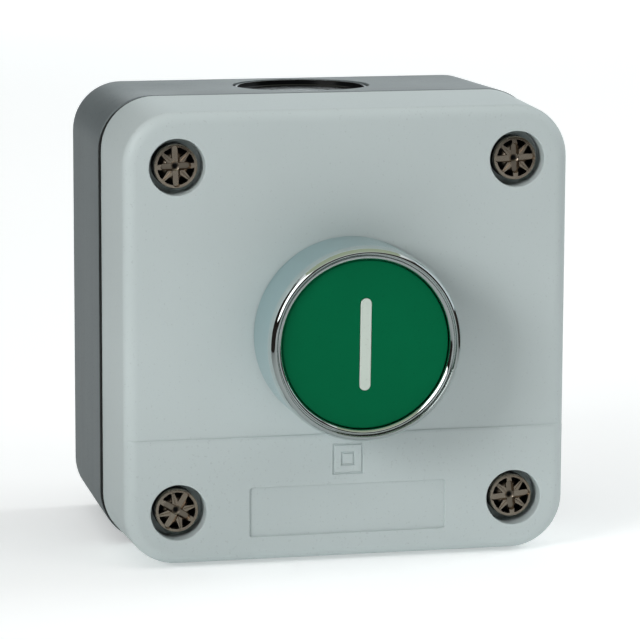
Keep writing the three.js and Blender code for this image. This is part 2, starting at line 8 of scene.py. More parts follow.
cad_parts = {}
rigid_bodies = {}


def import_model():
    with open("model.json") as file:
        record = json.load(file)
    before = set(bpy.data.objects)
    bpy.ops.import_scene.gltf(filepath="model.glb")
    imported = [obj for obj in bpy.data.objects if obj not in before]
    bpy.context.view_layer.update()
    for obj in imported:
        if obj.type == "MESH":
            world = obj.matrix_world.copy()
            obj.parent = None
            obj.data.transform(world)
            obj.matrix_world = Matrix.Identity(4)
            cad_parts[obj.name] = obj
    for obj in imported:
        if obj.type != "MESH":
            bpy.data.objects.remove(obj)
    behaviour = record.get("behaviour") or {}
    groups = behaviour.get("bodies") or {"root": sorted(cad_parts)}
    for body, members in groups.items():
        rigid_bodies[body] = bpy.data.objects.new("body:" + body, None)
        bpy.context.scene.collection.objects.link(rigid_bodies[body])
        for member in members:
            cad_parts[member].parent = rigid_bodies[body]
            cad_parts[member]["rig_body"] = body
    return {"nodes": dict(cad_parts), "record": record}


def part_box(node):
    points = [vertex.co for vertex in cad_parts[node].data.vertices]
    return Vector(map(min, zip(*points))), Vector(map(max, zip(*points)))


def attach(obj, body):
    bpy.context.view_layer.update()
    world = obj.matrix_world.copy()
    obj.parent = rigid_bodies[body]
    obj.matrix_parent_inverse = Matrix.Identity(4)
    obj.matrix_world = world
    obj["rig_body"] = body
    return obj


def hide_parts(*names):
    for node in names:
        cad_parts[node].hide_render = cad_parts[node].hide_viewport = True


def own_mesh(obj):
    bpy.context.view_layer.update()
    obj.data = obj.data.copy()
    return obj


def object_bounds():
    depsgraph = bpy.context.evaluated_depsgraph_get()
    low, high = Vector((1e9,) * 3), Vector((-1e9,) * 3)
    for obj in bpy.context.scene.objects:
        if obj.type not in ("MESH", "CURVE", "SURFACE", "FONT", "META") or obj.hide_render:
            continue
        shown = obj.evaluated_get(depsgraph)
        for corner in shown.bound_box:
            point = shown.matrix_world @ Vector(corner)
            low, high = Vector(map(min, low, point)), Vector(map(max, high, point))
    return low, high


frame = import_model()
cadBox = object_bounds()

mm = 0.001
scene = bpy.context.scene


# ---- camera, light and floor

view = {
    "place": (-0.12024, -0.54448, 0.08986),
    "aim": (-0.00435, -0.046, 0.00248),
    "roll": 0.227,  # degrees
    "lens": 199.07,
}


def facing(place, aim):
    # how a camera, lamp or board at one place is turned to face another
    return (Vector(aim) - Vector(place)).to_track_quat("-Z", "Y")


def makeCamera():
    data = bpy.data.cameras.new("Camera")
    data.lens = view["lens"]
    data.sensor_width = 36
    data.clip_start = 0.01
    data.clip_end = 30
    camera = bpy.data.objects.new("Camera", data)
    camera.location = view["place"]
    roll = Matrix.Rotation(math.radians(view["roll"]), 3, "Z")
    camera.rotation_euler = (facing(view["place"], view["aim"]).to_matrix() @ roll).to_euler()
    scene.collection.objects.link(camera)
    scene.camera = camera


studio = {
    "aim": (0, -0.03, 0),  # what the lamps and boards face
    # how the surroundings change from the horizon up to straight overhead: (height, colour)
    "sky": ((0.0, (0.012, 0.009, 0.007)), (0.64, (0.03, 0.024, 0.02)), (0.74, (0.84, 0.85, 0.85)),
            (1.0, (0.84, 0.85, 0.85))),
    "boxes": {
        # name: (place, size, watts, colour, whether it shows in reflections)
        "keyBox": ((-0.78, -0.61, 0.34), 0.4, 5.5, (1.0, 1.0, 0.995), False),
        "sideBox": ((0.87, 0.0, 0.48), 0.5, 3.9, (0.97, 0.99, 1.0), False),
        "frontBox": ((0.64, -0.6, 0.6), 0.4, 0.9, (1.0, 1.0, 1.0), False),
        "backBox": ((0.27, 1.15, 0.20), 0.6, 1.4, (0.88, 0.97, 1.0), True),
    },
    "panels": {
        # glowing boards seen only in reflections: (place, size, strength, colour)
        "leftPanel": ((-0.80, -0.46, 0.52), 0.72, 2.6, (1.0, 1.0, 0.99)),
        "rightPanel": ((1.0, 0.25, 0.28), 1.2, 0.72, (0.88, 0.96, 1.0)),
        "topPanel": ((0.0, -0.05, 1.0), 1.5, 0.40, (0.90, 1.0, 0.72)),
    },
    # dark cards beside the object, which draw the dark edges in bright metal: (x, from y, to y, top)
    "cards": {"leftCard": (-0.16, -0.25, 0.17, 0.02), "rightCard": (0.16, -0.30, 0.03, 0.02)},
    "cardColour": (0.018, 0.012, 0.009, 1),
    "floorColour": (0.93, 0.94, 0.94),
    "floorMirrored": (0.47, 0.49, 0.49),  # what polished metal sees of the floor
    "floorGlow": 0.31,
    "floorReach": 6.0,
}


def makeStudio():
    world = bpy.data.worlds.new("Studio")
    world.use_nodes = True
    tree = world.node_tree
    heading = tree.nodes.new("ShaderNodeTexCoord")
    parts = tree.nodes.new("ShaderNodeSeparateXYZ")
    sky = tree.nodes.new("ShaderNodeValToRGB")
    tree.links.new(heading.outputs["Generated"], parts.inputs["Vector"])
    tree.links.new(parts.outputs["Z"], sky.inputs["Fac"])
    tree.links.new(sky.outputs["Color"], tree.nodes["Background"].inputs["Color"])
    stops = sky.color_ramp.elements
    for height, colour in studio["sky"][1:-1]:
        stops.new(height)
    for stop, (height, colour) in zip(stops, studio["sky"]):
        stop.position = height
        stop.color = (*colour, 1)
    scene.world = world
    for name, (place, size, watts, colour, mirrored) in studio["boxes"].items():
        data = bpy.data.lights.new(name, "AREA")
        data.shape = "SQUARE"
        data.size = size
        data.energy = watts
        data.color = colour
        lamp = bpy.data.objects.new(name, data)
        lamp.location = place
        lamp.rotation_euler = facing(place, studio["aim"]).to_euler()
        lamp.visible_glossy = mirrored
        scene.collection.objects.link(lamp)
    scene.view_settings.view_transform = "Standard"


makeCamera()
makeStudio()
print("camera and lights are set")


# ---- making shapes; depths are distances forward of the back, so depth d lies at y = -d


def newPiece(name, points, faces):
    mesh = bpy.data.meshes.new(name)
    mesh.from_pydata([Vector(p) * mm for p in points], [], faces)
    work = bmesh.new()
    work.from_mesh(mesh)
    bmesh.ops.remove_doubles(work, verts=work.verts, dist=0.0005 * mm)
    bmesh.ops.recalc_face_normals(work, faces=work.faces)
    work.to_mesh(mesh)
    work.free()
    piece = bpy.data.objects.new(name, mesh)
    scene.collection.objects.link(piece)
    return piece


def skinLoops(name, loops, ring=False):
    # loops of the same count become bands of quads, closed with a face at each end or joined into a ring
    count = len(loops[0])
    points = [p for loop in loops for p in loop]
    faces = []
    rows = len(loops)
    for row in range(rows if ring else rows - 1):
        a = row * count
        b = ((row + 1) % rows) * count
        for i in range(count):
            j = (i + 1) % count
            faces.append((a + i, a + j, b + j, b + i))
    if not ring:
        faces.append(tuple(range(count)))
        faces.append(tuple(range((rows - 1) * count, rows * count)))
    return newPiece(name, points, faces)


def roundedLoop(halfX, halfZ, radius, depth, steps=14, middle=(0, 0)):
    # an upright rounded rectangle at one depth
    loop = []
    for signX, signZ, start in ((1, 1, 0), (-1, 1, 90), (-1, -1, 180), (1, -1, 270)):
        for i in range(steps + 1):
            angle = math.radians(start + 90 * i / steps)
            x = middle[0] + signX * (halfX - radius) + radius * math.cos(angle)
            z = middle[1] + signZ * (halfZ - radius) + radius * math.sin(angle)
            loop.append((x, -depth, z))
    return loop


def slotLoop(width, length, out, depth, steps, middle=(0, 0)):
    # a long outline with round ends, grown all round by out
    halfX, halfZ = width / 2 + out, length / 2 + out
    return roundedLoop(halfX, halfZ, min(halfX, halfZ) - 0.001, depth, steps, middle)


def turn(name, profile, sides=96, middle=(0, 0)):
    # turns (radius, depth) points about the Y direction
    # the profile is closed, or starts and ends on the axis
    points, faces = [], []
    onAxis = profile[0][0] == 0
    for radius, depth in profile:
        for i in range(sides):
            angle = 2 * math.pi * i / sides
            x = middle[0] + radius * math.cos(angle)
            z = middle[1] + radius * math.sin(angle)
            points.append((x, -depth, z))
    rows = len(profile)
    for row in range(rows - 1 if onAxis else rows):
        a = row * sides
        b = ((row + 1) % rows) * sides
        for i in range(sides):
            j = (i + 1) % sides
            faces.append((a + i, a + j, b + j, b + i))
    piece = newPiece(name, points, faces)
    work = bmesh.new()
    work.from_mesh(piece.data)
    bmesh.ops.dissolve_degenerate(work, edges=work.edges, dist=0.0005 * mm)
    bmesh.ops.recalc_face_normals(work, faces=work.faces)
    work.to_mesh(piece.data)
    work.free()
    return piece


def tip(piece, degrees, axis="X", place=(0, 0, 0)):
    # turns a piece's mesh about an axis, then moves it
    turned = Matrix.Rotation(math.radians(degrees), 4, axis)
    piece.data.transform(Matrix.Translation(Vector(place) * mm) @ turned)
    return piece


def carve(piece, *tools, way="DIFFERENCE"):
    # cuts each tool from the piece, or joins it on, and throws the tool away
    for tool in tools:
        step = piece.modifiers.new("carve", "BOOLEAN")
        step.operation = way
        step.solver = "EXACT"
        step.object = tool
        made = bpy.data.meshes.new_from_object(piece.evaluated_get(bpy.context.evaluated_depsgraph_get()))
        piece.modifiers.remove(step)
        old = piece.data
        piece.data = made
        bpy.data.meshes.remove(old)
        bpy.data.objects.remove(tool)
    return piece


def softShade(piece, angle=32):
    piece.data.shade_smooth()
    piece.data.set_sharp_from_angle(angle=math.radians(angle))
    even = piece.modifiers.new("even normals", "WEIGHTED_NORMAL")
    even.keep_sharp = True
    even.weight = 100
    return piece


def settle(piece, body, slot, material, *nodes):
    piece.data.name = piece.name
    piece.data.materials.clear()
    piece.data.materials.append(material)
    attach(piece, body)
    if nodes:
        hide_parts(*nodes)
    return piece


def edgeRound(radius, steps=5, last=82):
    # how far out, and how far below the face, an outer edge's rounding lies
    for i in range(steps + 1):
        angle = math.radians(last * i / steps)
        yield radius * (1 - math.cos(angle)), radius * (1 - math.sin(angle))


def mouth(radius, floor, face, rounding):
    # profile of a round cutter with a softened mouth
    profile = [(0, floor), (radius, floor)]
    profile += [(radius + out, face - below) for out, below in edgeRound(rounding)]
    profile += [(radius + rounding * 1.6, face + 1), (0, face + 1)]
    return profile


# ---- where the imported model's nodes are, in millimetres


def boxOf(node):
    low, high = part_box(node)
    return Vector(low) / mm, Vector(high) / mm


def depthsOf(node):
    low, high = boxOf(node)
    return -high.y, -low.y


def middleOf(node):
    low, high = boxOf(node)
    return (low.x + high.x) / 2, (low.z + high.z) / 2


coverLow, coverHigh = boxOf("front_cover")
sealBack, seamDepth = depthsOf("cover_gasket")
faceDepth = -coverLow.y
halfWidth = coverHigh.x
halfHeight = coverHigh.z
bezelLow, bezelHigh = boxOf("bezel")
bezelRadius = (bezelHigh.x - bezelLow.x) / 2
headMiddle = middleOf("bezel")
panelDepth = depthsOf("bezel_seal")[0]
screwCorners = ("top_left", "top_right", "bottom_left", "bottom_right")
screwMiddles = {corner: middleOf("cover_screw_" + corner) for corner in screwCorners}
screwX, screwZ = screwMiddles["top_right"]


# ---- finishes: effects that several materials share are node groups


def addNode(tree, kind, inputs=None, **settings):
    made = tree.nodes.new(kind)
    for key, value in settings.items():
        setattr(made, key, value)
    for key, value in (inputs or {}).items():
        if isinstance(value, bpy.types.NodeSocket):
            tree.links.new(value, made.inputs[key])
        else:
            made.inputs[key].default_value = value
    return made


def newGroup(name, takes, gives):
    # takes: name -> (socket type, value); gives: name -> socket type
    group = bpy.data.node_groups.new(name, "ShaderNodeTree")
    for key, (kind, value) in takes.items():
        socket = group.interface.new_socket(key, in_out="INPUT", socket_type=kind)
        if value is not None:
            socket.default_value = value
    for key, kind in gives.items():
        group.interface.new_socket(key, in_out="OUTPUT", socket_type=kind)
    return group, addNode(group, "NodeGroupInput").outputs, addNode(group, "NodeGroupOutput").inputs


def makeMouldGrain():
    # the fine pebble of a spark-eroded mould, with slow cloudy changes of tone
    group, given, out = newGroup(
        "mouldGrain",
        {
            "Place": ("NodeSocketVector", None),
            "Grain Scale": ("NodeSocketFloat", 2600.0),
            "Cloud Scale": ("NodeSocketFloat", 38.0),
        },
        {"Grain": "NodeSocketFloat", "Cloud": "NodeSocketFloat", "Speck": "NodeSocketFloat"},
    )
    pebble = addNode(group, "ShaderNodeTexVoronoi", {"Vector": given["Place"], "Scale": given["Grain Scale"]},
                     feature="SMOOTH_F1")
    fine = addNode(group, "ShaderNodeTexNoise",
                   {"Vector": given["Place"], "Scale": given["Grain Scale"], "Detail": 3.0, "Roughness": 0.6})
    both = addNode(group, "ShaderNodeMath", {0: pebble.outputs["Distance"], 1: fine.outputs["Fac"]},
                   operation="ADD")
    cloud = addNode(group, "ShaderNodeTexNoise",
                    {"Vector": given["Place"], "Scale": given["Cloud Scale"], "Detail": 4.0,
                     "Roughness": 0.55})
    dots = addNode(group, "ShaderNodeTexNoise",
                   {"Vector": given["Place"], "Scale": given["Grain Scale"], "Detail": 1.0})
    speck = addNode(group, "ShaderNodeMapRange",
                    {"Value": dots.outputs["Fac"], "From Min": 0.66, "From Max": 0.74})
    group.links.new(both.outputs[0], out["Grain"])
    group.links.new(cloud.outputs["Fac"], out["Cloud"])
    group.links.new(speck.outputs["Result"], out["Speck"])
    return group


def makeStreaks():
    # faint upright streaks, lighter and darker, stretched along Z
    group, given, out = newGroup(
        "uprightStreaks",
        {"Place": ("NodeSocketVector", None), "Across Scale": ("NodeSocketFloat", 420.0)},
        {"Streak": "NodeSocketFloat"},
    )
    stretch = addNode(group, "ShaderNodeVectorMath", {0: given["Place"], 1: (1.0, 1.0, 0.045)},
                      operation="MULTIPLY")
    marks = addNode(group, "ShaderNodeTexNoise",
                    {"Vector": stretch.outputs[0], "Scale": given["Across Scale"], "Detail": 3.0,
                     "Roughness": 0.6})
    group.links.new(marks.outputs["Fac"], out["Streak"])
    return group


def makeTurnedMarks():
    # rings left by turning, stamping or polishing, round an axis along Y
    group, given, out = newGroup(
        "turnedMarks",
        {
            "Place": ("NodeSocketVector", None),
            "Ring Scale": ("NodeSocketFloat", 1800.0),
            "Smudge Scale": ("NodeSocketFloat", 160.0),
        },
        {"Rings": "NodeSocketFloat", "Smudge": "NodeSocketFloat"},
    )
    rings = addNode(group, "ShaderNodeTexWave",
                    {"Vector": given["Place"], "Scale": given["Ring Scale"], "Distortion": 2.5,
                     "Detail": 2.0},
                    wave_type="RINGS", rings_direction="Y")
    smudge = addNode(group, "ShaderNodeTexNoise",
                     {"Vector": given["Place"], "Scale": given["Smudge Scale"], "Detail": 5.0,
                      "Roughness": 0.62})
    group.links.new(rings.outputs["Fac"], out["Rings"])
    group.links.new(smudge.outputs["Fac"], out["Smudge"])
    return group


def makePaintedLightByDepth():
    # nothing at one place along Y and full at another; it lays the metals' painted shade and painted
    # reflection tones by depth
    group, given, out = newGroup(
        "paintedLightByDepth",
        {
            "Place": ("NodeSocketVector", None),
            "Start": ("NodeSocketFloat", 0.0),
            "Full": ("NodeSocketFloat", 1.0),
        },
        {"Mask": "NodeSocketFloat"},
    )
    parts = addNode(group, "ShaderNodeSeparateXYZ", {"Vector": given["Place"]})
    reach = addNode(group, "ShaderNodeMapRange",
                    {"Value": parts.outputs["Y"], "From Min": given["Start"], "From Max": given["Full"]},
                    interpolation_type="SMOOTHSTEP")
    group.links.new(reach.outputs["Result"], out["Mask"])
    return group


mouldGrain = makeMouldGrain()
uprightStreaks = makeStreaks()
turnedMarks = makeTurnedMarks()
paintedLightByDepth = makePaintedLightByDepth()


def useGroup(tree, group, place, **values):
    made = addNode(tree, "ShaderNodeGroup", node_tree=group)
    tree.links.new(place, made.inputs["Place"])
    for key, value in values.items():
        made.inputs[key].default_value = value
    return made.outputs


def startMaterial(name, **sockets):
    material = bpy.data.materials.new(name)
    material.use_nodes = True
    tree = material.node_tree
    shader = tree.nodes["Principled BSDF"]
    for key, value in sockets.items():
        shader.inputs[key].default_value = value
    place = addNode(tree, "ShaderNodeTexCoord").outputs["Object"]
    return material, tree, shader, place


def shadeBetween(tree, shader, socket, mask, low, high, fromMin=0.3, fromMax=0.7):
    # a number that moves between two values with a mask
    spread = addNode(tree, "ShaderNodeMapRange",
                     {"Value": mask, "From Min": fromMin, "From Max": fromMax, "To Min": low, "To Max": high})
    tree.links.new(spread.outputs["Result"], shader.inputs[socket])


def tint(tree, mask, dark, light, low=0.3, high=0.7):
    # a colour that moves between two values with a mask
    ramp = addNode(tree, "ShaderNodeValToRGB", {"Fac": mask})
    ramp.color_ramp.elements[0].position = low
    ramp.color_ramp.elements[0].color = (*dark, 1)
    ramp.color_ramp.elements[1].position = high
    ramp.color_ramp.elements[1].color = (*light, 1)
    return ramp.outputs["Color"]


def raiseBumps(tree, shader, height, strength, distance):
    bump = addNode(tree, "ShaderNodeBump",
                   {"Height": height, "Strength": strength, "Distance": distance * mm})
    tree.links.new(bump.outputs["Normal"], shader.inputs["Normal"])


def mix(tree, way, mask, first, second):
    blend = addNode(tree, "ShaderNodeMix", data_type="RGBA", blend_type=way)
    for index, value in ((0, mask), (6, first), (7, second)):
        if isinstance(value, bpy.types.NodeSocket):
            tree.links.new(value, blend.inputs[index])
        else:
            blend.inputs[index].default_value = value if index == 0 else (*value, 1)
    return blend.outputs[2]


def mouldedPlastic(name, dark, light, speckColour, roughness, grain=0.12, scale=2600.0, streak=0.0,
                   **sockets):
    material, tree, shader, place = startMaterial(name, **sockets)
    moulded = useGroup(tree, mouldGrain, place, **{"Grain Scale": scale})
    colour = tint(tree, moulded["Cloud"], dark, light)
    if streak:
        streaked = useGroup(tree, uprightStreaks, place)
        shade = tint(tree, streaked["Streak"], (1 - streak,) * 3, (1 + streak,) * 3)
        colour = mix(tree, "MULTIPLY", 1.0, colour, shade)
    colour = mix(tree, "MIX", moulded["Speck"], colour, speckColour)
    tree.links.new(colour, shader.inputs["Base Color"])
    shadeBetween(tree, shader, "Roughness", moulded["Cloud"], roughness - 0.04, roughness + 0.05)
    raiseBumps(tree, shader, moulded["Grain"], grain, 0.02)
    return material


def metal(name, dark, light, roughness, rings=0.05, ringScale=1800.0, paintedDepthTone=None, **sockets):
    # the last argument is a second colour by depth, as painted shade or a painted reflection: (depth where it
    # starts, depth where it is full, its colour, its added roughness)
    material, tree, shader, place = startMaterial(name, Metallic=1.0, **sockets)
    marks = useGroup(tree, turnedMarks, place, **{"Ring Scale": ringScale})
    colour = tint(tree, marks["Smudge"], dark, light)
    polish = addNode(tree, "ShaderNodeMapRange",
                     {"Value": marks["Smudge"], "From Min": 0.3, "From Max": 0.7,
                      "To Min": roughness * 0.8, "To Max": roughness * 1.25}).outputs[0]
    if paintedDepthTone:
        start, full, tone, added = paintedDepthTone
        reach = useGroup(tree, paintedLightByDepth, place, Start=-start * mm, Full=-full * mm)["Mask"]
        colour = mix(tree, "MIX", reach, colour, tone)
        duller = addNode(tree, "ShaderNodeMapRange",
                         {"Value": reach, "To Min": 0.0, "To Max": added}).outputs[0]
        polish = addNode(tree, "ShaderNodeMath", {0: polish, 1: duller}, operation="ADD").outputs[0]
    tree.links.new(colour, shader.inputs["Base Color"])
    tree.links.new(polish, shader.inputs["Roughness"])
    if rings:
        raiseBumps(tree, shader, marks["Rings"], rings, 0.01)
    return material


finishes = {
    # slot: how the record's material is made, as a name, its darker and lighter tones and so on
    "cover_plastic": mouldedPlastic(
        "coverGrey", (0.510, 0.577, 0.577), (0.534, 0.601, 0.601), (0.47, 0.53, 0.53),
        0.44, grain=0.10, **{"Specular IOR Level": 0.42}),
    "base_plastic": mouldedPlastic(
        "baseGrey", (0.149, 0.173, 0.181), (0.162, 0.188, 0.196), (0.085, 0.10, 0.105),
        0.42, grain=0.08, streak=0.05),
    "black_rubber": mouldedPlastic(
        "sealRubber", (0.006, 0.007, 0.007), (0.014, 0.015, 0.015), (0.03, 0.03, 0.03),
        0.66, grain=0.25, scale=3200.0),
    "black_plastic": mouldedPlastic(
        "plugBlack", (0.003, 0.003, 0.004), (0.006, 0.007, 0.007), (0.01, 0.01, 0.01),
        0.24, grain=0.03),
    "green_plastic": mouldedPlastic(
        "startGreen", (0.0004, 0.117, 0.045), (0.0006, 0.136, 0.053), (0.0005, 0.105, 0.042),
        0.5, grain=0.12, scale=3400.0, **{"Specular IOR Level": 0.04}),
    "white_inlay": mouldedPlastic(
        "barWhite", (0.56, 0.64, 0.575), (0.60, 0.68, 0.615), (0.53, 0.60, 0.54),
        0.5, grain=0.08, scale=3000.0),
    "dark_nylon": mouldedPlastic(
        "darkNylon", (0.014, 0.017, 0.018), (0.022, 0.025, 0.027), (0.03, 0.033, 0.035),
        0.52, grain=0.2, scale=2000.0),
    "grey_nylon": mouldedPlastic(
        "greyNylon", (0.24, 0.26, 0.27), (0.28, 0.30, 0.31), (0.22, 0.24, 0.25),
        0.5, grain=0.15, scale=2000.0),
    "nickel_steel": metal(
        "screwNickel", (0.36, 0.29, 0.225), (0.52, 0.45, 0.37), 0.24, rings=0.12, ringScale=2200.0,
        # deeper than 43.95 the head fades to near-black: painted shade in the pockets, the middle of the
        # cross and down the head's side within its recess
        paintedDepthTone=(43.95, 43.5, (0.02, 0.02, 0.02), 0.3)),
    "bezel_chrome": metal(
        "bezelChrome", (0.64, 0.695, 0.69), (0.68, 0.735, 0.73), 0.045, rings=0.0,
        # behind the shoulder the chrome turns blue-grey and rougher: the colour is a painted reflection of
        # the grey cover face beside it, the roughness a satin finish
        paintedDepthTone=(-bezelLow.y - 1.7, -bezelLow.y - 2.3, (0.53, 0.69, 0.72), 0.16)),
    "spring_steel": metal("springSteel", (0.36, 0.37, 0.38), (0.50, 0.51, 0.52), 0.3, rings=0.2),
    "brass_strip": metal("stripBrass", (0.52, 0.38, 0.14), (0.66, 0.50, 0.22), 0.32, rings=0.1),
    "silver_contact": metal("contactSilver", (0.62, 0.61, 0.59), (0.72, 0.71, 0.69), 0.28, rings=0.1),
}
print("finishes are made:", len(finishes))


# ---- the two halves of the box and the seal between them

shell = {
    "wall": 2.6,
    "pillar": 5.05,  # radius of the four screw pillars
    "pilot": 2.2,
    "cornerRadius": 8.0,
    "play": 0.3,
}

cover = {
    "front": 2.8,
    "leanTop": 0.6,  # how far its top and bottom lean in at the front
    "sideStep": 0.34,  # how far its left and right sides stand in from the seal
    "frontRounding": 2.0,
    "seamRounding": 0.25,
    "lipHeight": 2.0,
    "lipThickness": 1.2,
    "bandGap": 0.8,  # from the bezel down to the raised band
    "recessRadius": 4.15,
    "recessFloor": 41.7,
    "recessRounding": 0.16,
    "barrelHole": 11.2,
}
# the raised band's upper edge: how far down the face, and how far forward of the panel
bandEdge = ((0.0, 0.0), (0.03, 0.09), (0.09, 0.15), (0.2, 0.195), (0.38, 0.235), (0.6, 0.25))

bandTop = headMiddle[1] - bezelRadius - cover["bandGap"]

label = {"width": 29.7, "height": 7.4, "depth": 0.28, "middle": -26.0, "rounding": 0.1, "corner": 0.35}
symbol = {"sides": (4.65, 2.1), "line": 0.3, "depth": 0.2}
symbolMiddle = (bandTop + label["middle"] + label["height"] / 2) / 2


def coverLoop(inset, depth, radius, panelBack=0.0):
    # an outline whose two sides carry the points of the band's edge
    # panelBack sets back what is above them
    width = halfWidth - inset[0]
    height = halfHeight - inset[1]
    stops = [(bandTop - down, rise / bandEdge[-1][1]) for down, rise in bandEdge]
    loop = []

    def corner(signX, signZ, start, share):
        steps = 14
        for i in range(steps + 1):
            angle = math.radians(start + 90 * i / steps)
            x = signX * (width - radius) + radius * math.cos(angle)
            z = signZ * (height - radius) + radius * math.sin(angle)
            loop.append((x, -(depth - panelBack * (1 - share)), z))

    corner(1, 1, 0, 0)
    corner(-1, 1, 90, 0)
    loop.extend((-width, -(depth - panelBack * (1 - share)), z) for z, share in stops)
    corner(-1, -1, 180, 1)
    corner(1, -1, 270, 1)
    loop.extend((width, -(depth - panelBack * (1 - share)), z) for z, share in reversed(stops))
    return loop


def coverSkin():
    rounding = cover["frontRounding"]
    length = faceDepth - seamDepth
    loops = []

    def add(depth, inset, panelBack=0.0):
        share = (depth - seamDepth) / length
        lean = cover["leanTop"] * share
        side = cover["sideStep"] + (cover["leanTop"] - cover["sideStep"]) * share
        radius = shell["cornerRadius"] - inset - 0.3 * lean
        loops.append(coverLoop((side + inset, lean + inset), depth, radius, panelBack))

    small = cover["seamRounding"]
    for i in range(5):
        angle = math.radians(22.5 * i)
        add(seamDepth + small * (1 - math.cos(angle)), small * (1 - math.sin(angle)))
    straight = faceDepth - rounding
    for i in range(1, 6):
        add(seamDepth + small + (straight - seamDepth - small) * i / 6, 0)
    steps = 12
    for i in range(steps + 1):
        angle = math.radians(90 * i / steps)
        across, along = math.cos(angle), math.sin(angle)
        add(straight + rounding * along, rounding * (1 - across), bandEdge[-1][1] * along)
    return loops


def makeCoverSkin(name):
    loops = coverSkin()
    count = len(loops[0])
    points = [p for loop in loops for p in loop]
    faces = [tuple(range(count))]
    for row in range(len(loops) - 1):
        a, b = row * count, (row + 1) * count
        faces += [(a + i, a + (i + 1) % count, b + (i + 1) % count, b + i) for i in range(count)]
    # the front: the panel, the strips of the band's edge, and the band
    arc, stops = 15, len(bandEdge)
    first = (len(loops) - 1) * count
    left = [first + 2 * arc + i for i in range(stops)]
    right = [first + 4 * arc + 2 * stops - 1 - i for i in range(stops)]
    faces.append(tuple([right[0]] + [first + i for i in range(2 * arc)] + [left[0]]))
    for i in range(stops - 1):
        faces.append((left[i], left[i + 1], right[i + 1], right[i]))
    faces.append(tuple([left[-1]] + [first + 2 * arc + stops + i for i in range(2 * arc)] + [right[-1]]))
    return newPiece(name, points, faces)


def hollowLoop(inset, depth):
    # the inside of the walls, stepping round the four screw pillars
    x = halfWidth - shell["wall"] - inset
    z = halfHeight - shell["wall"] - inset
    radius = shell["pillar"] + inset
    loop = []
    for signX, signZ in ((1, 1), (-1, 1), (-1, -1), (1, -1)):
        turnIn = signX * signZ
        ends = [(x * signX, (screwZ - radius) * signZ), ((screwX - radius) * signX, z * signZ)]
        arc = []
        for i in range(11):
            angle = math.radians(270 - 9 * i)
            arcX = screwX + radius * math.cos(angle)
            arcZ = screwZ + radius * math.sin(angle)
            arc.append((arcX * signX, arcZ * signZ))
        run = [ends[0], *arc, ends[1]]
        loop += run if turnIn > 0 else run[::-1]
    return [(px, -depth, pz) for px, pz in loop]


def frameCutter(side, line, depth, middleZ):
    # a square ring with sloping sides, for a moulded line
    def square(reach, level):
        return [(sx * reach, -level, middleZ + sz * reach) for sx, sz in ((1, 1), (-1, 1), (-1, -1), (1, -1))]

    outer, inner = side / 2, side / 2 - line
    slope = 0.07
    return skinLoops("frameCutter", [
        square(outer + slope, faceDepth + 0.5),
        square(outer + slope * 0.6, faceDepth + 0.001),
        square(outer - slope, faceDepth - depth),
        square(inner + slope, faceDepth - depth),
        square(inner - slope * 0.6, faceDepth + 0.001),
        square(inner - slope, faceDepth + 0.5),
    ], ring=True)


def softPocket(width, height, depth, rounding, corner, middleZ):
    # cuts a shallow rounded pocket with softened edges into the cover's face
    def outline(out, level):
        radius = corner + max(out, 0)
        return roundedLoop(width / 2 + out, height / 2 + out, radius, level, 6, (0, middleZ))

    loops = [outline(-0.08, faceDepth - depth), outline(-0.02, faceDepth - depth + 0.04)]
    loops += [outline(out, faceDepth - below) for out, below in edgeRound(rounding, 4)]
    loops.append(outline(rounding * 1.5, faceDepth + 0.5))
    return skinLoops("pocket", loops)


def pilotHole(corner, start, end):
    # cuts the hole for one cover screw's shank
    radius = shell["pilot"]
    profile = [(0, start), (radius, start), (radius, end), (0, end)]
    return turn("pilot", profile, 32, screwMiddles[corner])


def makeCover():
    piece = makeCoverSkin("cover_moulding")
    cavity = skinLoops("cavity", [hollowLoop(0, seamDepth - 1), hollowLoop(0, faceDepth - cover["front"])])
    carve(piece, cavity)
    inner = shell["play"] + cover["lipThickness"]
    lip = skinLoops("lip", [
        hollowLoop(shell["play"], seamDepth - cover["lipHeight"]),
        hollowLoop(shell["play"], seamDepth - 0.001),
        hollowLoop(-0.2, seamDepth + 0.001),
        hollowLoop(-0.2, seamDepth + 1),
        hollowLoop(inner, seamDepth + 1),
        hollowLoop(inner, seamDepth - cover["lipHeight"]),
    ], ring=True)
    carve(piece, lip, way="UNION")
    tools = [frameCutter(side, symbol["line"], symbol["depth"], symbolMiddle) for side in symbol["sides"]]
    tools.append(softPocket(label["width"], label["height"], label["depth"], label["rounding"],
                            label["corner"], label["middle"]))
    for corner in screwCorners:
        face = panelDepth if corner.startswith("top") else faceDepth
        profile = mouth(cover["recessRadius"], cover["recessFloor"], face, cover["recessRounding"])
        tools.append(turn("recess", profile, 72, screwMiddles[corner]))
        tools.append(pilotHole(corner, seamDepth - 2, faceDepth - 2))
    hole = cover["barrelHole"]
    profile = [(0, seamDepth), (hole, seamDepth), (hole, faceDepth + 1), (0, faceDepth + 1)]
    tools.append(turn("barrelHole", profile, 96, headMiddle))
    carve(piece, *tools)
    softShade(piece)
    settle(piece, "enclosure", "cover_plastic", finishes["cover_plastic"], "front_cover")


base = {
    "lean": 0.5,
    "floor": 3.0,
    "backRounding": 0.7,
    "rimRounding": 0.2,
    "entryRadius": 10.5,
    "entryBore": 9.0,
    "entryRounding": 0.16,
    "slot": (4.6, 9.5),  # width and length of the fixing slots
    "slotX": 24.0,
    "slotZ": 14.0,
    "pilotBack": 13.5,
}


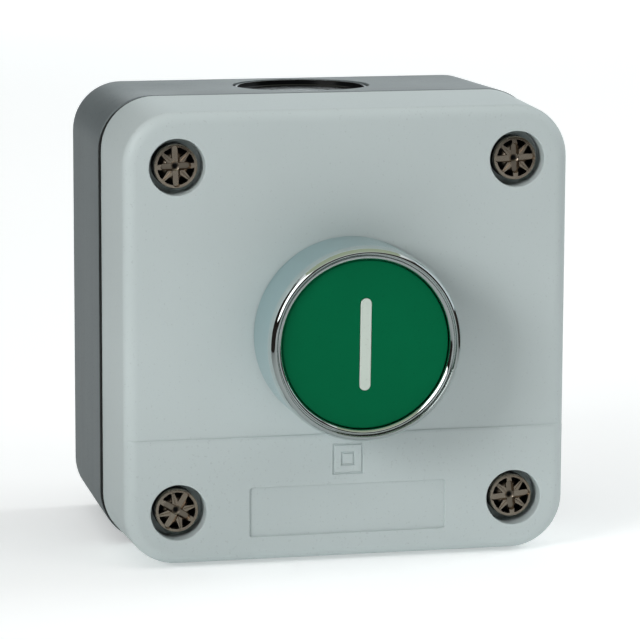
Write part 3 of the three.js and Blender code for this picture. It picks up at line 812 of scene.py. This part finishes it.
def makeBase():
    loops = []

    def add(depth, inset):
        lean = base["lean"] * (1 - depth / sealBack)
        radius = shell["cornerRadius"] - inset - lean
        loops.append(roundedLoop(halfWidth - lean - inset, halfHeight - lean - inset, radius, depth, 14))

    for edge, start, sign in ((base["backRounding"], 0, 1), (base["rimRounding"], sealBack, -1)):
        rows = []
        for i in range(6):
            angle = math.radians(18 * i)
            rows.append((start + sign * edge * (1 - math.cos(angle)), edge * (1 - math.sin(angle))))
        if sign > 0:
            rows += [(edge + (sealBack - edge - base["rimRounding"]) * i / 6, 0) for i in range(1, 6)]
        else:
            rows.reverse()
        for depth, inset in rows:
            add(depth, inset)
    piece = skinLoops("base_moulding", loops)
    tools = [skinLoops("cavity", [hollowLoop(0, base["floor"]), hollowLoop(0, sealBack + 1)])]
    entry = (sealBack / 2, halfHeight - base["lean"])
    for degrees in (-90, 90):
        outside = halfHeight - base["lean"] / 2
        profile = mouth(base["entryRadius"], entry[1] - 1.6, outside, base["entryRounding"])
        tools.append(tip(turn("seat", profile, 96), degrees, place=(0, -entry[0], 0)))
        bore = base["entryBore"]
        inside = halfHeight - shell["wall"] - 1
        profile = [(0, inside), (bore, inside), (bore, outside), (0, outside)]
        tools.append(tip(turn("bore", profile, 72), degrees, place=(0, -entry[0], 0)))
    width, length = base["slot"]
    for x in (-base["slotX"], base["slotX"]):
        for z in (-base["slotZ"], base["slotZ"]):
            rows = ((-1, 0.5), (0.0, 0.3), (0.12, 0.12), (0.3, 0.0), (base["floor"] + 1, 0.0))
            tools.append(skinLoops("slot", [slotLoop(width, length, out, depth, 10, (x, z))
                                            for depth, out in rows]))
    tools += [pilotHole(corner, base["pilotBack"], sealBack + 1) for corner in screwCorners]
    carve(piece, *tools)
    softShade(piece)
    settle(piece, "enclosure", "base_plastic", finishes["base_plastic"], "base_box")


# how far it stands in from the widest point, at the sides and at the top
seal = {"sideReach": 0.02, "topReach": 0.3, "cornerRadius": 7.8, "bulge": 0.05}


def makeSeal():
    # a flat rubber seal whose bead shows along the two sides
    def outline(inset, depth):
        return roundedLoop(halfWidth - seal["sideReach"] - inset, halfHeight - seal["topReach"] - inset,
                           seal["cornerRadius"], depth, 14)

    thickness = seamDepth - sealBack
    loops = [outline(seal["bulge"], sealBack), outline(0.01, sealBack + thickness * 0.3),
             outline(0, sealBack + thickness * 0.6), outline(seal["bulge"], seamDepth)]
    piece = skinLoops("seam_seal", loops)
    tools = [skinLoops("inside", [hollowLoop(0.02, sealBack - 1), hollowLoop(0.02, seamDepth + 1)])]
    tools += [pilotHole(corner, sealBack - 1, seamDepth + 1) for corner in screwCorners]
    carve(piece, *tools)
    softShade(piece)
    settle(piece, "enclosure", "black_rubber", finishes["black_rubber"], "cover_gasket")


makeCover()
makeBase()
makeSeal()
print("the box is made")


# ---- the plugs in the two cable entries

plug = {"flange": 10.2, "body": 8.7, "dish": 0.8, "rim": 0.42, "skirt": 5.0, "wall": 1.2, "seat": -1.3}


def makePlug(name, node, degrees):
    low, high = boxOf(node)
    outer = high.z if degrees < 0 else -low.z
    flange, body, dish = plug["flange"], plug["body"], plug["dish"]
    well = flange - plug["rim"]
    heights = [
        (0, -dish - plug["wall"]), (body - plug["wall"], -dish - plug["wall"]),
        (body - plug["wall"], -plug["skirt"]), (body - 0.3, -plug["skirt"]), (body, -plug["skirt"] + 0.5),
        (body, plug["seat"]), (flange, plug["seat"]), (flange, -0.12), (flange - 0.12, 0),
        (well + 0.08, 0), (well, -0.06), (well, -dish + 0.1), (well - 0.1, -dish),
        # a moulded ring groove, then a low button in the middle
        (5.3, -dish), (5.2, -dish - 0.12), (5.0, -dish - 0.12), (4.9, -dish),
        (1.3, -dish), (1.1, -dish + 0.18), (0.6, -dish + 0.26), (0, -dish + 0.28),
    ]
    piece = turn(name, [(radius, outer + height) for radius, height in heights], 128)
    tip(piece, degrees, place=(0, (low.y + high.y) / 2, 0))
    softShade(piece)
    settle(piece, "enclosure", "black_plastic", finishes["black_plastic"], node)


makePlug("top_entry_plug", "entry_plug_top", -90)
makePlug("bottom_entry_plug", "entry_plug_bottom", 90)
print("the entry plugs are made")


# ---- the four cover screws

screw = {
    "head": 3.22,
    "seat": 42.5,
    "rimTop": 44.52,
    "rimRounding": 0.16,
    "crown": 44.62,
    "shank": 1.9,
    "end": 14.5,
    "pitch": 0.8,
    "threadDepth": 0.22,
    "slot": (6.1, 1.1, 0.62),  # length, width and depth
    "cross": (4.5, 1.15, 0.8),
    "pointDepth": 1.3,
    "ridge": (1.0, 2.75, 0.34, 0.16),  # from and to these radii, width and height
    # from and to these radii, half its spread in degrees, its floor's depths
    "pocket": (1.25, 2.78, 17, 43.95, 43.1),
    # which way the slot points on each screw, in degrees from level
    "turns": {"top_left": 92, "top_right": 3, "bottom_left": 58, "bottom_right": 6},
}


def roundedBar(size, top, crown, taper):
    # a bar along x with round ends, narrower at the bottom, reaching from above the head down into it
    length, width, depth = size
    rows = ((top, -0.06), (crown + 0.02, -0.04), (crown - 0.06, 0.0), (crown - depth, taper))
    return skinLoops("bar", [slotLoop(length, width, -inset, level, 8) for level, inset in rows])


def ridge(angle, crown):
    # a low raised bar from the middle towards the rim, its two long sides sloping
    near, far, width, height = screw["ridge"]
    turned = Matrix.Rotation(math.radians(-angle), 3, "Y")
    rows = []
    for x, share in ((near, 0.5), (near + 0.15, 1), (far - 0.1, 1), (far, 0.4)):
        low, high = crown - 0.35, crown + height * share - 0.06
        foot, top = width / 2 + 0.06, width * 0.12
        rows.append([turned @ Vector(p) for p in ((x, -low, -foot), (x, -low, foot), (x, -high, top),
                                                  (x, -high, -top))])
    return skinLoops("ridge", rows)


def wedgePocket(angle, top):
    # a deep three-cornered hollow between an arm of the cross and a ridge
    near, far, spread, floorNear, floorFar = screw["pocket"]
    points = []
    for radius, aside, floor in ((near, 0, floorNear), (far - 0.05, -spread, floorFar),
                                 (far, -spread * 0.5, floorFar), (far, spread * 0.5, floorFar),
                                 (far - 0.05, spread, floorFar)):
        direction = math.radians(angle + aside)
        points.append((radius * math.cos(direction), radius * math.sin(direction), floor))
    centreX = sum(x for x, z, floor in points) / len(points)
    centreZ = sum(z for x, z, floor in points) / len(points)

    def scaled(share, level):
        return [(centreX + (x - centreX) * share, -(level or floor), centreZ + (z - centreZ) * share)
                for x, z, floor in points]

    return skinLoops("pocket", [scaled(1.06, top), scaled(0.86, None)])


def makeScrews():
    head, rounding, rimTop, crown = screw["head"], screw["rimRounding"], screw["rimTop"], screw["crown"]
    domeSteps = 8
    profile = [(0, screw["end"]), (screw["shank"] - 0.5, screw["end"])]
    depth = screw["end"] + 0.5
    while depth < screw["seat"] - 6:
        profile.append((screw["shank"], depth))
        profile.append((screw["shank"] - screw["threadDepth"], depth + screw["pitch"] / 2))
        depth += screw["pitch"]
    profile += [(screw["shank"], depth), (screw["shank"], screw["seat"]), (head - 0.1, screw["seat"]),
                (head, screw["seat"] + 0.1)]
    for i in range(7):
        angle = math.radians(15 * i)
        profile.append((head - rounding * (1 - math.cos(angle)), rimTop - rounding * (1 - math.sin(angle))))
    inner, rise = head - rounding, crown - rimTop
    for i in range(1, domeSteps + 1):
        share = i / domeSteps
        profile.append((inner * (1 - share), rimTop + rise * (1 - (1 - share) ** 2)))
    blank = turn("screwBlank", profile, 96)
    top = crown + 0.5
    carve(blank, *(wedgePocket(45 + 90 * arm + side * 21, top) for arm in range(4) for side in (-1, 1)))
    carve(blank, *(ridge(45 + 90 * arm, crown) for arm in range(4)), way="UNION")
    cross = screw["cross"]
    point = [(0, crown - screw["pointDepth"]), (0.7, crown - cross[2] + 0.1), (1.0, top), (0, top)]
    carve(blank, roundedBar(screw["slot"], top, crown, 0.14),
          tip(roundedBar(cross, top, crown, 0.2), 90, "Y"), turn("point", point, 24))
    for corner, degrees in screw["turns"].items():
        piece = bpy.data.objects.new("lid_screw_" + corner, blank.data.copy())
        scene.collection.objects.link(piece)
        # the mesh stays at the screw's own axis, so that its marks run round it
        piece.data.transform(Matrix.Rotation(math.radians(-degrees), 4, "Y"))
        x, z = screwMiddles[corner]
        piece.location = Vector((x, 0, z)) * mm
        softShade(piece, 24)
        settle(piece, "enclosure", "nickel_steel", finishes["nickel_steel"], "cover_screw_" + corner)
    bpy.data.objects.remove(blank)


makeScrews()
print("the screws are made")


# ---- the button head: chrome bezel, green cap and its bar

bezel = {
    "socket": 13.6,
    "skirt": 0.2,
    "opening": 12.46,
    "shoulder": (0.9, 1.85),  # how far in and how far down it runs
    "grooveWidth": 0.16,
    "grooveDepth": 0.75,
    "lipSink": 0.4,  # of the lip's crest below the shoulder
    "lipSlope": (0.44, 0.4),  # how far in and how far down it runs to the opening
}


def makeBezel():
    radius, (inwards, down) = bezelRadius, bezel["shoulder"]
    height = -bezelLow.y - panelDepth
    ledge = depthsOf("head_body")[1] - panelDepth + shell["play"]
    outs = [(bezel["socket"], bezel["skirt"]), (radius - 0.15, bezel["skirt"])]
    outs += [(radius - 0.04, bezel["skirt"] + 0.04), (radius, bezel["skirt"] + 0.15)]
    outs += [(radius, height - down - step) for step in (5, 3, 1.5, 0.5)]
    for i in range(15):
        angle = math.radians(90 * i / 14)
        outs.append((radius - inwards * (1 - math.cos(angle)), height - down * (1 - math.sin(angle))))
    inner = radius - inwards
    outs += [(inner - 0.05, height - 0.03), (inner - 0.09, height - 0.12), (inner - 0.1, height - 0.3)]
    inner -= 0.1
    grooveFloor = height - bezel["grooveDepth"]
    outs += [(inner, grooveFloor), (inner - bezel["grooveWidth"], grooveFloor)]
    inner -= bezel["grooveWidth"]
    crest, (slopeIn, slopeDown) = height - bezel["lipSink"], bezel["lipSlope"]
    outs += [(inner, crest - 0.12), (inner - 0.03, crest - 0.04), (inner - 0.09, crest)]
    start = bezel["opening"] + slopeIn
    for i in range(1, 9):
        share = i / 8
        outs.append((start - slopeIn * share, crest - slopeDown * (0.35 * share + 0.65 * share ** 2)))
    outs += [(bezel["opening"], height - 1.3), (bezel["opening"], ledge), (bezel["socket"], ledge)]
    piece = turn("bezel_ring", [(radius, panelDepth + out) for radius, out in outs], 192, headMiddle)
    softShade(piece, 40)
    settle(piece, "enclosure", "bezel_chrome", finishes["bezel_chrome"], "bezel")


cap = {
    "edge": 0.22,
    "turn": 0.6,  # degrees
    "pocket": 9.3,
    "pocketDepth": 0.8,
    "play": 0.05,  # round the bar
    "grooveDepth": 0.6,
}


def turnOnAxis(piece):
    # the bar stands a little off upright, as a round cap turns in its bezel
    axis = Vector((headMiddle[0], 0, headMiddle[1])) * mm
    turned = Matrix.Rotation(math.radians(cap["turn"]), 4, "Y")
    piece.data.transform(Matrix.Translation(axis) @ turned @ Matrix.Translation(-axis))
    return piece


def barSize():
    low, high = boxOf("cap_legend")
    return high.x - low.x, high.z - low.z


def makeCap():
    back, front = depthsOf("button_cap")
    low, high = boxOf("button_cap")
    radius, edge = (high.x - low.x) / 2, cap["edge"]
    pocketFloor = back + cap["pocketDepth"]
    profile = [(0, pocketFloor), (cap["pocket"], pocketFloor), (cap["pocket"], back),
               (radius - 0.1, back), (radius, back + 0.1)]
    for i in range(7):
        angle = math.radians(15 * i)
        profile.append((radius - edge * (1 - math.cos(angle)), front - edge * (1 - math.sin(angle))))
    profile += [(radius * share, front) for share in (0.9, 0.7, 0.4)] + [(0, front)]
    piece = turn("start_cap", profile, 160, headMiddle)
    width, length = barSize()
    play = cap["play"]
    rows = ((front - cap["grooveDepth"], play), (front - 0.06, play),
            (front + 0.002, play + 0.05), (front + 0.5, play + 0.06))
    carve(piece, turnOnAxis(skinLoops("groove", [slotLoop(width, length, out, depth, 12, headMiddle)
                                                 for depth, out in rows])))
    softShade(piece)
    settle(piece, "button", "green_plastic", finishes["green_plastic"], "button_cap")


def makeBar():
    back, front = depthsOf("cap_legend")
    width, length = barSize()
    rows = [(back, 0.0), (front - 0.07, 0.0), (front - 0.03, 0.02), (front - 0.005, 0.06), (front, 0.12)]
    loops = [slotLoop(width, length, -inset, depth, 12, headMiddle) for depth, inset in rows]
    piece = softShade(turnOnAxis(skinLoops("white_bar", loops)))
    settle(piece, "button", "white_inlay", finishes["white_inlay"], "cap_legend")


makeBezel()
makeCap()
makeBar()
print("the button head is made")


# ---- springs, coiled along their imported nodes

springs = {
    # CAD node: (joint, coil radius, wire, turns, how far it is pressed, which end stays)
    "return_spring": ("button_press", 7.65, 1.0, 5, 4.0, "back"),
    "plunger_spring": ("contact_plunger_slide", 1.8, 0.4, 4, 4.0, "back"),
    "bridge_spring": ("contact_bridge_slide", 1.1, 0.4, 3, 1.44, "front"),
}


def makeSpring(node, joint, radius, wire, turns, pressed, stays):
    middle = middleOf(node)
    back, front = depthsOf(node)
    ring, steps = 12, turns * 40
    loops = []
    for step in range(steps + 1):
        share = step / steps
        along = share - math.sin(2 * math.pi * share) / (4 * math.pi)
        angle = 2 * math.pi * turns * share
        outwards = Vector((math.cos(angle), 0, math.sin(angle)))
        depth = back + wire / 2 + (front - back - wire) * along
        centre = outwards * radius + Vector((middle[0], -depth, middle[1]))
        loop = []
        for i in range(ring):
            around = 2 * math.pi * i / ring
            aside = outwards * math.cos(around) + Vector((0, math.sin(around), 0))
            loop.append(centre + aside * (wire / 2))
        loops.append(loop)
    piece = softShade(skinLoops("coil_" + node.split("_")[0], loops), 60)
    settle(piece, frame["nodes"][node]["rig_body"], "spring_steel", finishes["spring_steel"], node)
    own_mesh(piece)


for node, values in springs.items():
    makeSpring(node, *values)
print("the springs are made")


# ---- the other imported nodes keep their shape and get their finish

slotOf = {part["node"]: part["material_slot"] for part in frame["record"]["subparts"]}
for node, thing in frame["nodes"].items():
    if not thing.hide_render:
        for place in thing.material_slots:
            place.material = finishes[slotOf[node]]


# ---- the floor, and what the bright metal mirrors

def makeBoard(name, points, material):
    mesh = bpy.data.meshes.new(name)
    mesh.from_pydata(points, [], [tuple(range(len(points)))])
    mesh.materials.append(material)
    board = bpy.data.objects.new(name, mesh)
    scene.collection.objects.link(board)
    return board


def makeFloor():
    reach = studio["floorReach"]
    sides = 64
    level = cadBox[0].z
    points = [(math.cos(2 * math.pi * i / sides) * reach, math.sin(2 * math.pi * i / sides) * reach, level)
              for i in range(sides)]
    material, tree, shader, _ = startMaterial("paleFloor")
    rays = addNode(tree, "ShaderNodeLightPath").outputs
    tree.links.new(mix(tree, "MIX", rays["Is Glossy Ray"], studio["floorColour"], studio["floorMirrored"]),
                   shader.inputs["Base Color"])
    shader.inputs["Roughness"].default_value = 0.8
    shader.inputs["Emission Color"].default_value = (*studio["floorColour"], 1)
    glow = addNode(tree, "ShaderNodeMapRange", {"Value": rays["Is Glossy Ray"], "To Min": studio["floorGlow"],
                                                "To Max": 0.0})
    tree.links.new(glow.outputs["Result"], shader.inputs["Emission Strength"])
    makeBoard("floor", points, material)


def makeCards():
    material, _, shader, _ = startMaterial("darkCard")
    shader.inputs["Base Color"].default_value = studio["cardColour"]
    shader.inputs["Roughness"].default_value = 0.9
    bottom = cadBox[0].z
    for name, (x, front, back, top) in studio["cards"].items():
        card = makeBoard(name, [(x, front, bottom), (x, back, bottom), (x, back, top), (x, front, top)],
                         material)
        card.visible_camera = False


def makePanels():
    for name, (place, size, strength, colour) in studio["panels"].items():
        material, _, shader, _ = startMaterial(name)
        shader.inputs["Base Color"].default_value = (0, 0, 0, 1)
        shader.inputs["Emission Color"].default_value = (*colour, 1)
        shader.inputs["Emission Strength"].default_value = strength
        half = size / 2
        panel = makeBoard(name, [(-half, -half, 0), (half, -half, 0), (half, half, 0), (-half, half, 0)],
                          material)
        panel.location = place
        panel.rotation_euler = facing(place, studio["aim"]).to_euler()
        panel.visible_camera = panel.visible_diffuse = panel.visible_shadow = False


makeFloor()
makeCards()
makePanels()
print("the floor is laid")
